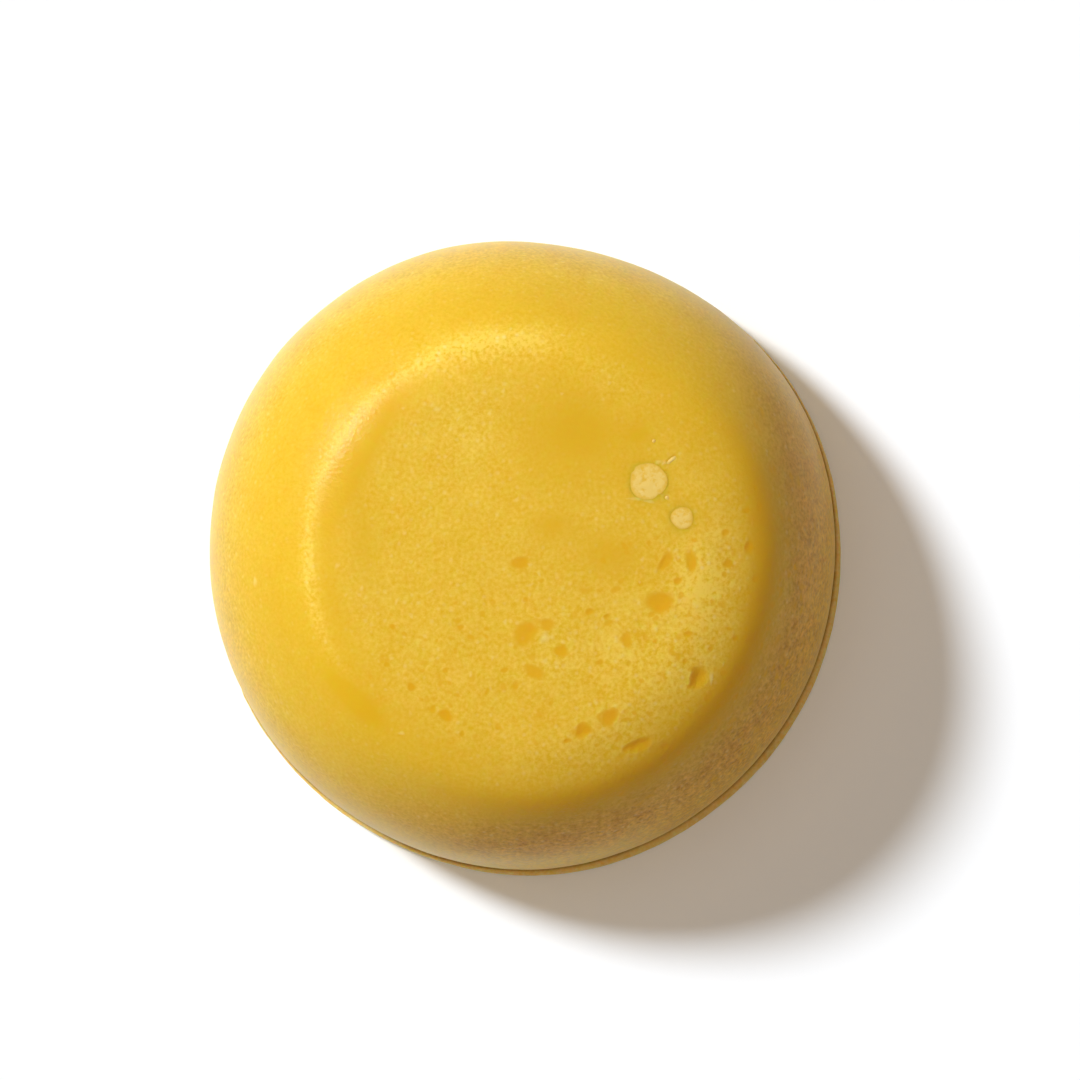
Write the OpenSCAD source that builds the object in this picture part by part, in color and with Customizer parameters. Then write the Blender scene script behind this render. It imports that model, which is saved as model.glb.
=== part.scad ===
// Shaving soap puck: a round-shouldered cake of hard soap, cast in two pours.
// The main pour is the thick cake. A thin base pour closes it underneath, a
// little off centre, so its edge shows as a fine lip along one side. Pale
// flakes are set flush in the face, and burst air bubbles pit it.
//
// Millimetres, +Z up. The origin is the middle of the flat underside. +Y is
// the far side of the puck and +X its right-hand side, seen from above.

/* [Puck] */
// Diameter of each pour
puck_d = 70; // [58:0.5:90]
// Height from the underside to the middle of the face
puck_h = 28.5; // [24.5:0.5:45]

/* [Face and shoulder] */
// Tilt of the slightly crowned face where it meets the shoulder, in degrees
face_tilt = 5; // [2:0.5:12]
// Radius of the upper shoulder, beside the face
upper_shoulder_r = 15; // [6:0.5:24]
// Radius of the lower shoulder, above the wall
lower_shoulder_r = 23.5; // [8:0.5:29]
// Tilt at which the two shoulder radii meet, in degrees
shoulder_break = 45; // [30:1:60]

/* [Base pour] */
// Thickness of the thin pour below the seam
base_h = 1.6; // [1:0.1:4]
// Distance between the centre lines of the two pours
pour_shift = 0.65; // [0:0.05:1.5]
// Direction in which the base pour lies off centre, in degrees from +X
pour_shift_dir = -35; // [-180:5:180]
// Rounding of the pours' edges at the seam and at the underside
edge_r = 0.4; // [0.1:0.05:0.45]

/* [Pale flakes] */
// Diameter of the large round flake
large_flake_d = 4; // [2:0.1:5]
// Diameter of the small round flake
small_flake_d = 2.4; // [1:0.1:3.4]
// Length of the sliver between the centres of its round ends
sliver_length = 1.3; // [0.4:0.1:2]
// Width of the sliver
sliver_w = 0.6; // [0.3:0.1:1]
// Diameter of each grain
grain_d = 0.7; // [0.3:0.1:1.2]
// Depth to which the flakes reach into the face
flake_depth = 0.9; // [0.4:0.1:2]

/* [Air bubbles] */
// Width of every burst bubble, as a multiple of its listed width
bubble_scale = 1; // [0.6:0.05:1.3]

/* [Hidden] */
$fn = 96;

// Chords that stand for each arc of the main pour's outline
edge_steps = 4;
shoulder_steps = 16;
crown_steps = 5;

pour_r = puck_d / 2;
half_shift = pour_shift / 2 * [cos(pour_shift_dir), sin(pour_shift_dir), 0];

// Outward direction of a surface that is tilted this much from level
function normal_at(tilt) = [sin(tilt), cos(tilt)];

// The outline is three tangent arcs: crown, upper shoulder and lower shoulder.
// Each is worked out from the wall inwards, so the face takes what is left.
break_r = pour_r - lower_shoulder_r * (1 - sin(shoulder_break));
face_r = break_r - upper_shoulder_r * (sin(shoulder_break) - sin(face_tilt));
crown_r = face_r / sin(face_tilt);
crown_c = [0, puck_h - crown_r];
upper_c = crown_c + (crown_r - upper_shoulder_r) * normal_at(face_tilt);
lower_c = upper_c + (upper_shoulder_r - lower_shoulder_r) * normal_at(shoulder_break);

// Centre and radius of the arc that the surface follows at a distance from the axis
function arc_centre(r) = r < face_r ? crown_c : r < break_r ? upper_c : lower_c;
function arc_radius(r) = r < face_r ? crown_r : r < break_r ? upper_shoulder_r : lower_shoulder_r;
// Tilt and height of the surface there
function tilt_at(r) = asin((r - arc_centre(r).x) / arc_radius(r));
function height_at(r) = arc_centre(r).y + arc_radius(r) * cos(tilt_at(r));

// Places of the flakes on the face, from the main pour's centre line
large_flake_at = [13.8, 8.1];
small_flake_at = [17.5, 4.1];
sliver_at = [15.8, 10.0];
sliver_turn = 42;
grains_at = [[14.4, 12.5], [15.8, 6.3]];

// Burst bubbles: place from the main pour's centre line, width and depth
bubbles = [
    [19.5, -13.5, 2.0, 1.0],
    [12.9, -20.9, 2.2, 0.9],
    [9.6, -17.8, 1.8, 0.8],
    [6.7, -19.2, 1.5, 0.7],
    [15.1, -5.1, 2.5, 0.8],
    [15.6, -0.7, 1.5, 0.5],
    [18.4, -0.5, 1.7, 0.6],
    [22.7, -0.9, 0.9, 0.4],
    [24.9, 1.1, 1.1, 0.4],
    [24.4, 5.0, 0.7, 0.3],
    [-0.2, -0.7, 1.8, 0.5],
    [0.4, -8.5, 2.5, 0.6],
    [2.9, -7.4, 1.3, 0.4],
    [4.4, -10.4, 1.3, 0.5],
    [1.5, -12.5, 1.8, 0.4],
    [11.6, -9.2, 1.5, 0.4],
    [-8.4, -17.5, 1.3, 0.5],
    [-12.2, -14.4, 1.0, 0.4],
];

// Points along an arc from one tilt to another, without the last one
function arc(centre, radius, from_tilt, to_tilt, steps) = [
    for (i = [0 : steps - 1])
        centre + radius * normal_at(from_tilt + (to_tilt - from_tilt) * i / steps)
];

// Main pour as it left the mould, with no flakes or bubbles
module main_pour()
    rotate_extrude()
        polygon(concat(
            [[0, base_h]],
            arc([pour_r - edge_r, base_h + edge_r], edge_r, 180, 90, edge_steps),
            [[pour_r, base_h + edge_r]],
            arc(lower_c, lower_shoulder_r, 90, shoulder_break, shoulder_steps),
            arc(upper_c, upper_shoulder_r, shoulder_break, face_tilt, shoulder_steps),
            arc(crown_c, crown_r, face_tilt, 0, crown_steps),
            [[0, puck_h]]
        ));

// Straight-sided space down into the face, as deep as the flakes reach
module pocket(place, diameter)
    translate([place.x, place.y, height_at(norm(place)) - flake_depth])
        cylinder(d = diameter, h = puck_h);

// The same with straight sides and round ends, for the sliver
module sliver_pocket()
    translate([sliver_at.x, sliver_at.y, height_at(norm(sliver_at)) - flake_depth])
        rotate(sliver_turn) {
            translate([0, -sliver_w / 2, 0]) cube([sliver_length, sliver_w, puck_h]);
            cylinder(d = sliver_w, h = puck_h);
            translate([sliver_length, 0, 0]) cylinder(d = sliver_w, h = puck_h);
        }

module grain_pockets()
    for (place = grains_at)
        pocket(place, grain_d);

// Round dent of a given width and depth, sunk square to the surface
module bubble(place, width, depth) {
    radius = (width * width / 4 + depth * depth) / (2 * depth);
    out = norm(place);
    tilt = tilt_at(out);
    outward = [place.x / out * sin(tilt), place.y / out * sin(tilt), cos(tilt)];
    translate([place.x, place.y, height_at(out)] + (radius - depth) * outward)
        sphere(radius);
}

module soap_body()
    color([0.91, 0.71, 0.22])
        translate(-half_shift)
            difference() {
                main_pour();
                pocket(large_flake_at, large_flake_d);
                pocket(small_flake_at, small_flake_d);
                sliver_pocket();
                grain_pockets();
                for (b = bubbles)
                    bubble([b[0], b[1]], b[2] * bubble_scale, b[3]);
            }

module base_layer()
    color([0.80, 0.55, 0.16])
        translate(half_shift)
            rotate_extrude() {
                square([pour_r - edge_r, base_h]);
                translate([0, edge_r]) square([pour_r, base_h - 2 * edge_r]);
                translate([pour_r - edge_r, edge_r]) circle(edge_r);
                translate([pour_r - edge_r, base_h - edge_r]) circle(edge_r);
            }

// What fills a pocket, flush with the face
module flush_fill()
    color([0.93, 0.80, 0.44])
        translate(-half_shift)
            intersection() {
                main_pour();
                children();
            }

module large_flake() flush_fill() pocket(large_flake_at, large_flake_d);
module small_flake() flush_fill() pocket(small_flake_at, small_flake_d);
module sliver() flush_fill() sliver_pocket();
module grains() flush_fill() grain_pockets();

soap_body();
base_layer();
large_flake();
small_flake();
sliver();
grains();
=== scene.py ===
"""Looks of a shaving soap puck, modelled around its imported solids.

The puck is a round cake of hard amber soap, cast in two pours. The main pour has a slightly
crowned face and wide round shoulders, a frosty bloom and burst air bubbles. The thin base
pour lies a little off centre, so its edge shows as a lip. Pale flakes are set in the face.

Shapes are worked out in millimetres from the axis of their own pour, with +Z up, and are
moved to their place in metres at the end. The solids' boxes give each pour's size and place.
"""

from __future__ import annotations

import logging
import math
import random
from collections.abc import Iterable, Sequence
from dataclasses import dataclass, field
from enum import Enum
from functools import cached_property

import bmesh
import bpy
import numpy as np
from mathutils import Matrix, Vector, noise


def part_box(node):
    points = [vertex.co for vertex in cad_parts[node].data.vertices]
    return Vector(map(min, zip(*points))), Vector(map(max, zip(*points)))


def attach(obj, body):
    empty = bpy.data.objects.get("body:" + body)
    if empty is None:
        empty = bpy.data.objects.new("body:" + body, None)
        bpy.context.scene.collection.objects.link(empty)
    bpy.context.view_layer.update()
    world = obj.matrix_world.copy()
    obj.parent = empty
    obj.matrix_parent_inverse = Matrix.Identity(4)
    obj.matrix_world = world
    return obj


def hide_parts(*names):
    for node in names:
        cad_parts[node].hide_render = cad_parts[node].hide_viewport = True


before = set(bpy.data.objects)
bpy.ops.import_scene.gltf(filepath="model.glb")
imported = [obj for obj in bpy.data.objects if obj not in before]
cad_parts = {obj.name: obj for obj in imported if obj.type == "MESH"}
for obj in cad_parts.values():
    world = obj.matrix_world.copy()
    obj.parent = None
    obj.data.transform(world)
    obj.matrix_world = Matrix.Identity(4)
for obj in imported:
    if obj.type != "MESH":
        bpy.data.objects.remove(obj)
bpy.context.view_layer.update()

LOG = logging.getLogger("soap_puck")
MM = 0.001
TINY = 1e-9  # keeps a division from failing on the axis itself
BODY = "root"

Colour = tuple[float, float, float]
Outline = list[tuple[float, float]]
BMesh = bmesh.types.BMesh
Socket = bpy.types.NodeSocket


class Slot(Enum):
    """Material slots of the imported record."""

    CAKE = "amber_soap"
    BASE = "base_soap"
    FLAKE = "pale_flake"


class Mask(Enum):
    """Vertex attributes that the soap's finish reads, each from 0 to 1."""

    # Frost, and also painted light: a highlight and sheen on the sun side, and clearer soap where the lit
    # face turns into shade.
    VEIL_AND_PAINTED_LIGHT = "frosty_veil_and_painted_light"
    COARSE = "coarse_grain"
    # Bubble hollows, and also painted glow where the lit face turns into shade and round the flakes.
    HOLLOW_AND_PAINTED_GLOW = "bubble_hollow_and_painted_glow"
    # Pale crystals, and also painted sheen on the outer wall and a painted highlight in one bubble.
    CRYSTAL_AND_PAINTED_LIGHT = "pale_crystal_and_painted_light"
    # Painted shade: darkens the wall away from the sun, the shoulder and outer wall on the sun side, and
    # the seam of the base pour.
    PAINTED_SHADE = "painted_shade_tone"


Masks = dict[Mask, np.ndarray | float]


# --- Number helpers


def smooth_step(low: float, high: float, value: np.ndarray) -> np.ndarray:
    """Eases values from 0 at low to 1 at high, which may be less than low."""
    share = np.clip((value - low) / (high - low), 0.0, 1.0)
    return share * share * (3.0 - 2.0 * share)


def noise_at(points: np.ndarray, wavelength: float | Sequence[float], seed: float) -> np.ndarray:
    """Smooth noise from about -1 to 1 at each point. Each seed gives another pattern."""
    scaled = points / np.asarray(wavelength) + (0.0, 0.0, seed)
    return np.array([noise.noise(Vector(p)) for p in scaled])


def turned(points: np.ndarray, degrees: float) -> np.ndarray:
    """Points in axes that are turned about +Z by this many degrees."""
    angle = math.radians(degrees)
    along = points[:, 0] * math.cos(angle) + points[:, 1] * math.sin(angle)
    beside = points[:, 1] * math.cos(angle) - points[:, 0] * math.sin(angle)
    return np.column_stack((along, beside, points[:, 2]))


def from_axis(points: np.ndarray) -> tuple[np.ndarray, np.ndarray]:
    """Each point's distance from the axis, and its level direction away from it."""
    out = np.hypot(points[:, 0], points[:, 1])
    return out, points[:, :2] / np.maximum(out, TINY)[:, None]


def angle_of(points: np.ndarray) -> np.ndarray:
    """Direction of each point from the axis, in radians from +X."""
    return np.arctan2(points[:, 1], points[:, 0])


def normal(tilt: float) -> np.ndarray:
    """Outward direction, in a half section, of a surface with this tilt in degrees."""
    return np.array((math.sin(math.radians(tilt)), math.cos(math.radians(tilt))))


# --- Shape of the pours


@dataclass(frozen=True)
class Lobe:
    """One even swelling of the puck's outline.

    Attributes:
        crests: Number of crests round the puck. 0 widens it alike, and 1 shifts it.
        height: How far a crest stands out, in mm.
        first: Direction of one crest, in degrees from +X.
    """

    crests: int
    height: float
    first: float


# The mould was not quite round. Both pours follow it.
MOULD_LOBES = (
    Lobe(2, 0.10, -51.5),
    Lobe(3, 0.21, 23.0),
    Lobe(4, 0.11, 23.5),
    Lobe(5, 0.06, -31.0),
    Lobe(6, 0.07, -24.5),
)

# As it set, the main pour also shrank a little and drew towards the far side.
SHRUNK_LOBES = (*MOULD_LOBES, Lobe(0, -0.24, 0.0), Lobe(1, 0.20, 88.0))

# Nearer the axis than this, in mm, the mould's unevenness has faded out.
STILL_OUT = 8.0


def mould_swell(lobes: Iterable[Lobe], points: np.ndarray) -> np.ndarray:
    """How far lobes stand outside a true circle at each point, in mm."""
    angle = angle_of(points)
    return sum(
        lobe.height * np.cos(lobe.crests * (angle - math.radians(lobe.first))) for lobe in lobes
    )


@dataclass(frozen=True)
class Arc:
    """Arc of a half section.

    Attributes:
        centre: Its centre, as distance from the axis and height, in mm.
        radius: Its radius.
        low: Its least tilt, in degrees.
        high: Its greatest tilt.
    """

    centre: np.ndarray
    radius: float
    low: float
    high: float

    def at(self, tilt: float) -> np.ndarray:
        """The point with this tilt."""
        return self.centre + self.radius * normal(tilt)

    def points(self, step: float) -> Outline:
        """Points from its greatest tilt to its least, at most a step apart, without the last."""
        count = math.ceil(self.radius * math.radians(self.high - self.low) / step)
        turn = self.low - self.high
        return [tuple(self.at(self.high + turn * i / count)) for i in range(count)]


@dataclass(frozen=True)
class PourShape:
    """Outline of the main pour, as its solid has it: crown, two shoulder arcs, wall and foot.

    Attributes:
        radius: Radius of the wall, in mm.
        foot_z: Height of the seam that it stands on.
        top_z: Height of the middle of the face.
        face_tilt: Tilt of the face where it meets the shoulder, in degrees.
        upper_r: Radius of the shoulder beside the face.
        lower_r: Radius of the shoulder above the wall.
        break_tilt: Tilt where the two shoulder radii meet.
        edge_r: Rounding of the foot.
    """

    radius: float
    foot_z: float
    top_z: float
    face_tilt: float = 5.0
    upper_r: float = 15.0
    lower_r: float = 23.5
    break_tilt: float = 45.0
    edge_r: float = 0.4

    @cached_property
    def arcs(self) -> tuple[Arc, Arc, Arc]:
        """The crown and the two shoulder arcs, from the middle outwards.

        Returns:
            The arcs, each worked out from the wall inwards, so the face takes what is left.
        """
        break_sine, face_sine = normal(self.break_tilt)[0], normal(self.face_tilt)[0]
        break_out = self.radius - self.lower_r * (1.0 - break_sine)
        face_out = break_out - self.upper_r * (break_sine - face_sine)
        crown_r = face_out / face_sine
        crown_c = np.array((0.0, self.top_z - crown_r))
        upper_c = crown_c + (crown_r - self.upper_r) * normal(self.face_tilt)
        lower_c = upper_c + (self.upper_r - self.lower_r) * normal(self.break_tilt)
        return (
            Arc(crown_c, crown_r, 0.0, self.face_tilt),
            Arc(upper_c, self.upper_r, self.face_tilt, self.break_tilt),
            Arc(lower_c, self.lower_r, self.break_tilt, 90.0),
        )

    def outline(self, fine: float, coarse: float) -> Outline:
        """The pour's half section from the middle of its foot to the middle of its face.

        Args:
            fine: Spacing of the points on the face and the upper shoulder, in mm.
            coarse: Spacing on the lower shoulder and the wall.

        Returns:
            Points as distance from the axis and height.
        """
        crown, upper, lower = self.arcs
        inner = self.radius - self.edge_r
        wall_low = self.foot_z + self.edge_r
        wall_height = lower.centre[1] - wall_low
        foot_steps = 12
        wall_steps = math.ceil(wall_height / coarse)
        foot_edge = Arc(np.array((inner, wall_low)), self.edge_r, 90.0, 180.0)
        return [
            *((inner * i / foot_steps, self.foot_z) for i in range(foot_steps)),
            *foot_edge.points(self.edge_r / 4),
            *((self.radius, wall_low + wall_height * i / wall_steps) for i in range(wall_steps)),
            *lower.points(coarse),
            *upper.points(fine),
            *crown.points(fine),
            (0.0, self.top_z),
        ]

    def settle(self, points: np.ndarray) -> tuple[np.ndarray, np.ndarray]:
        """Brings points of the skin exactly onto the arcs, and gives their outward directions.

        Args:
            points: Rows of x, y and z. Those below the shoulders stay where they are.

        Returns:
            The points, and a unit normal for each, level on the wall and the foot's edge and
            straight down under the foot.
        """
        out, away_level = from_axis(points)
        height = points[:, 2]
        ring = np.column_stack((out, height))
        facing = np.zeros_like(ring)
        facing[:, 0] = 1.0
        slack = 1e-4
        under = (height < self.foot_z + slack) & (out < self.radius - self.edge_r + slack)
        facing[under] = (0, -1)
        shoulder_z = self.arcs[-1].centre[1]
        for arc in reversed(self.arcs):
            away = ring - arc.centre
            tilt = np.degrees(np.arctan2(away[:, 0], away[:, 1]))
            on_arc = (tilt >= arc.low) & (tilt < arc.high) & (away[:, 1] > 0) & (height > shoulder_z)
            unit = away / np.linalg.norm(away, axis=1)[:, None]
            ring[on_arc] = (arc.centre + arc.radius * unit)[on_arc]
            facing[on_arc] = unit[on_arc]
        return tuple(
            np.column_stack((away_level * pair[:, :1], pair[:, 1])) for pair in (ring, facing)
        )

    def place_on(self, x: float, y: float) -> tuple[np.ndarray, np.ndarray]:
        """Finds a place on the face or the shoulder.

        Args:
            x: Place from the axis, in mm.
            y: Place from the axis, in mm.

        Returns:
            The point above it, and the surface's outward direction there.
        """
        out = math.hypot(x, y)
        arc = next((arc for arc in self.arcs if out < arc.at(arc.high)[0]), self.arcs[-1])
        sine = (out - arc.centre[0]) / arc.radius
        cosine = math.sqrt(1.0 - sine * sine)
        away = np.array((x, y)) / max(out, TINY)
        point = np.array((x, y, arc.centre[1] + arc.radius * cosine))
        return point, np.array((*(away * sine), cosine))


# --- Marks on the skin


@dataclass(frozen=True)
class Mark:
    """An oval place on the skin, seen from above.

    Attributes:
        x: Place from the pour's axis, in mm.
        y: Place from the pour's axis, in mm.
        length: Its longer width.
        width: Its shorter width.
        turn: Direction of its length, in degrees from +X.
    """

    x: float
    y: float
    length: float
    width: float
    turn: float = 0.0

    def spread(self, shape: PourShape, points: np.ndarray) -> tuple[np.ndarray, np.ndarray]:
        """Where points lie in the oval: 0 in its middle and 1 at its edge.

        Args:
            shape: The pour that carries it.
            points: Rows of x, y and z on the pour.

        Returns:
            The points' distances from the middle in the oval's own measure, and their
            directions from it in radians.
        """
        centre, outward = shape.place_on(self.x, self.y)
        level = np.array((math.cos(math.radians(self.turn)), math.sin(math.radians(self.turn)), 0.0))
        along = level - outward * level.dot(outward)
        along /= np.linalg.norm(along)
        beside = np.cross(outward, along)
        away = points - centre
        u = away @ along / (self.length / 2)
        v = away @ beside / (self.width / 2)
        far = np.abs(away @ outward) > max(self.length, 3.0)
        return np.where(far, 99.0, np.hypot(u, v)), np.arctan2(v, u)


@dataclass(frozen=True)
class Pit(Mark):
    """Burst air bubble that is sunk square to the skin.

    Attributes:
        depth: Depth of its middle, in mm.
        rim: Height of the lip round it, in mm.
        roundness: Shape of its walls: 0.5 for steep ones, 1.5 for a soft dish.
    """

    depth: float = 0.4
    rim: float = 0.015
    roundness: float = 1.4

    def sink(self, shape: PourShape, points: np.ndarray) -> tuple[np.ndarray, np.ndarray]:
        """How far the pit moves each point outwards, and how much each lies in its hollow."""
        spread, way = self.spread(shape, points)
        wobble = 0.10 * np.sin(2 * way + 7.1 * self.x) + 0.07 * np.sin(3 * way + 5.3 * self.y)
        spread = spread * (1.0 + wobble)
        bowl = np.clip(1.0 - spread * spread, 0.0, 1.0) ** self.roundness
        lip = np.exp(-(((spread - 1.2) / 0.16) ** 2))
        clear = min(1.0, 0.25 + 9.0 * self.depth)
        return self.rim * lip - self.depth * bowl, clear * smooth_step(1.25, 0.55, spread)


@dataclass(frozen=True)
class Patch(Mark):
    """Soft-edged area that shifts one of the finish's masks.

    Attributes:
        mask: The mask that it shifts.
        amount: How far it shifts it in its middle.
    """

    mask: Mask = Mask.VEIL_AND_PAINTED_LIGHT
    amount: float = 0.3

    def weight(self, shape: PourShape, points: np.ndarray) -> np.ndarray:
        """The shift at each point."""
        spread, _ = self.spread(shape, points)
        return self.amount * np.exp(-1.4 * spread * spread)


@dataclass(frozen=True)
class Band:
    """Soft-edged arc round the pour's axis that raises the skin or shifts a mask.

    Attributes:
        out: Distance of its middle line from the axis, in mm.
        inner: How far it fades towards the axis, in mm.
        outer: How far it fades away from the axis.
        middle: Direction of its middle from +X, in degrees.
        reach: Half its length, in degrees, with its fading ends. 400 goes all round.
        mask: The mask that it shifts, or None where it raises the skin.
        amount: How far it does so along its middle line.
        centre: Centre of the arc, from the axis.
    """

    out: float
    inner: float
    outer: float
    middle: float
    reach: float
    mask: Mask | None
    amount: float
    centre: tuple[float, float] = (0.0, 0.0)

    def weight(self, shape: PourShape, points: np.ndarray) -> np.ndarray:
        """The shift at each point above the pour's foot."""
        x, y = points[:, 0] - self.centre[0], points[:, 1] - self.centre[1]
        away = np.hypot(x, y) - self.out
        across = np.exp(-((away / np.where(away < 0, self.inner, self.outer)) ** 2))
        way = np.degrees(np.arctan2(y, x)) - self.middle
        way = np.abs((way + 180.0) % 360.0 - 180.0)
        along = smooth_step(self.reach, 0.45 * self.reach, way)
        return self.amount * across * along * (points[:, 2] > shape.foot_z + shape.edge_r)


@dataclass(frozen=True)
class Fleck(Mark):
    """Pale crystal that stands a little proud of the skin."""

    height: float = 0.015

    def raise_at(self, shape: PourShape, points: np.ndarray) -> tuple[np.ndarray, np.ndarray]:
        """How far the fleck lifts each point, and how pale it makes it."""
        spread, way = self.spread(shape, points)
        spread = spread * (1.0 + 0.15 * np.sin(3 * way + 3.7 * self.x))
        cover = smooth_step(1.1, 0.2, spread)
        return self.height * cover, (0.30 + 6.0 * self.height) * cover


# Burst bubbles that can be told apart on the face and the shoulder.
BUBBLES = (
    Pit(19.5, -13.5, 2.7, 1.9, 97, depth=0.17, rim=0.04),
    Pit(12.9, -20.9, 2.9, 1.6, 8, depth=0.12, rim=0.03),
    Pit(9.6, -17.8, 2.1, 1.9, 60, depth=0.07, rim=0.03),
    Pit(6.7, -19.2, 1.8, 1.8, depth=0.09, rim=0.03),
    Pit(15.1, -5.1, 3.1, 2.4, 22, depth=0.08, rim=0.03),
    Pit(15.7, -0.7, 2.2, 1.2, 55, depth=0.07),
    Pit(18.6, -0.6, 2.5, 1.3, 108, depth=0.07),
    Pit(22.7, -0.9, 1.1, 1.0, depth=0.07),
    Pit(24.9, 1.0, 1.3, 1.0, 95, depth=0.09),
    Pit(24.5, 4.9, 0.8, 0.7, depth=0.07),
    Pit(-0.2, -0.8, 1.9, 1.4, 10, depth=0.06),
    Pit(0.4, -8.5, 2.9, 2.4, 20, depth=0.06),
    Pit(2.8, -7.5, 1.6, 1.3, 20, depth=0.05),
    Pit(4.3, -10.4, 1.5, 1.4, depth=0.07),
    Pit(1.4, -12.7, 2.2, 1.5, -38, depth=0.05),
    Pit(11.5, -9.3, 1.7, 1.1, 115, depth=0.06),
    Pit(-8.4, -17.6, 1.5, 1.4, 100, depth=0.08),
    Pit(-12.2, -14.5, 1.0, 0.9, depth=0.07),
    Pit(22.3, 2.5, 1.0, 0.7, 50, depth=0.06),
    Pit(25.6, -2.6, 0.75, 0.7, depth=0.07),
    Pit(-9.8, -16.9, 0.9, 0.7, 70, depth=0.06),
    Pit(13.0, -3.1, 0.65, 0.6, depth=0.05),
    Pit(9.3, -6.7, 0.75, 0.7, depth=0.07),
    Pit(7.4, -6.1, 1.1, 0.7, 5, depth=0.06),
    Pit(17.1, -2.8, 1.1, 0.8, 10, depth=0.06),
    Pit(18.3, -8.6, 1.1, 0.7, 5, depth=0.06),
    Pit(20.8, -10.3, 0.7, 0.6, depth=0.07),
    Pit(18.0, -11.7, 0.9, 0.55, 50, depth=0.05),
    Pit(15.8, -21.0, 0.8, 0.7, depth=0.09),
    Pit(4.9, -20.3, 0.6, 0.55, depth=0.08),
    Pit(8.5, -11.7, 0.9, 0.6, depth=0.06),
    Pit(-1.9, -12.5, 0.9, 0.6, 25, depth=0.05),
    Pit(0.4, -4.8, 0.65, 0.6, depth=0.05),
    Pit(23.5, -9.1, 0.7, 0.6, depth=0.07),
    Pit(30.2, -1.3, 0.85, 0.7, depth=0.08),
    Pit(-14.9, -12.0, 0.8, 0.6, depth=0.06),
    Pit(-14.2, -7.8, 0.7, 0.6, depth=0.05),
    Pit(-12.9, -8.6, 0.8, 0.5, -40, depth=0.04),
    Pit(-6.7, -7.8, 0.8, 0.5, depth=0.04),
    Pit(-8.4, -12.6, 0.7, 0.6, 15, depth=0.04),
    Pit(-6.6, -19.6, 0.7, 0.6, 45, depth=0.05),
    Pit(29.5, -11.9, 0.9, 0.7, 60, depth=0.08),
    Pit(27.0, -13.1, 0.8, 0.6, 70, depth=0.06),
    Pit(31.0, -6.2, 0.9, 0.55, 40, depth=0.05),
    Pit(27.2, -7.3, 0.7, 0.6, depth=0.05),
    Pit(27.5, -15.6, 0.6, 0.5, depth=0.05),
    Pit(14.7, -9.4, 0.6, 0.55, depth=0.04),
    Pit(13.2, -13.8, 0.6, 0.5, depth=0.04),
    Pit(3.2, -16.1, 0.6, 0.5, 30, depth=0.04),
    Pit(-3.8, -14.9, 0.7, 0.5, 60, depth=0.04),
)

# Pale crystals that can be told apart, and one painted highlight.
FLECKS = (
    Fleck(-29.6, -2.8, 1.0, 0.8, 70, height=0.04),
    Fleck(-13.3, -19.6, 0.9, 0.5, 10, height=0.04),
    Fleck(2.4, -20.7, 0.7, 0.4, 70),
    Fleck(-1.8, -7.2, 0.8, 0.5, 75, height=0.03),
    Fleck(-0.6, 6.1, 0.9, 0.5, 45),
    Fleck(0.9, -1.0, 0.7, 0.5),
    Fleck(1.9, -2.0, 0.9, 0.4, 110),
    Fleck(0.9, -3.2, 1.1, 0.4, 20),
    Fleck(2.5, -9.0, 1.6, 1.2, 60, height=0.04),
    Fleck(3.3, -8.9, 0.9, 0.6, -40),
    Fleck(2.5, -11.5, 1.0, 0.7, 30, height=0.02),
    Fleck(10.3, -9.4, 0.6, 0.5),
    Fleck(12.9, -15.0, 0.9, 0.35, 65),
    # Painted highlight: this fleck paints the sunlit wall of the bubble beside it pale.
    Fleck(20.9, -13.5, 1.8, 0.6, 97, height=0.08),
    Fleck(14.9, 10.2, 0.9, 0.6, 15, height=0.03),
    Fleck(15.5, 10.1, 0.8, 0.6, 30, height=0.04),
    Fleck(17.2, 11.1, 0.6, 0.45, 60, height=0.02),
    Fleck(12.4, 6.2, 2.2, 0.5, 0, height=0.01),
    Fleck(13.9, 5.9, 1.6, 0.45, -8, height=0.02),
    Fleck(13.2, -0.4, 0.7, 0.5, 60),
    Fleck(17.2, -0.2, 0.8, 0.6, 60, height=0.02),
    Fleck(16.9, 0.6, 0.8, 0.5, 20),
    Fleck(12.8, -5.2, 0.7, 0.5, 60),
    Fleck(17.3, -5.0, 0.8, 0.5, 80),
    Fleck(-10.4, 19.5, 0.7, 0.5, 60),
    Fleck(-9.4, 15.9, 0.8, 0.6, 40),
    Fleck(-12.9, 16.0, 0.5, 0.4),
    Fleck(-11.6, 14.2, 0.6, 0.45),
    Fleck(-3.5, 15.5, 0.7, 0.5, 80),
    Fleck(-2.0, 18.0, 0.7, 0.45, 70),
    Fleck(0.9, 22.4, 0.6, 0.5, 60),
    Fleck(4.5, 24.3, 0.7, 0.4, -30),
    Fleck(4.4, 17.8, 0.5, 0.45),
    Fleck(-6.9, 14.9, 1.1, 0.3, 55),
    Fleck(-17.6, -3.6, 0.9, 0.5, 70),
    Fleck(-20.3, -1.1, 0.8, 0.6, 40),
    Fleck(-13.7, -5.0, 1.2, 0.35, 60),
    Fleck(-10.0, -3.9, 1.3, 0.35, 35),
    Fleck(-5.6, -13.0, 1.0, 0.4, 85),
    Fleck(-3.2, -11.2, 0.8, 0.4, 75),
    Fleck(8.2, 4.9, 0.4, 0.35),
    Fleck(12.9, -2.9, 0.4, 0.4),
    Fleck(19.3, -5.6, 0.6, 0.45, 70),
    Fleck(23.9, -0.1, 0.5, 0.4, 80),
    Fleck(23.2, 1.9, 0.5, 0.5),
    Fleck(24.0, -3.7, 0.9, 0.3, 80),
    Fleck(22.2, -11.9, 0.8, 0.3, 85),
)
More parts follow.
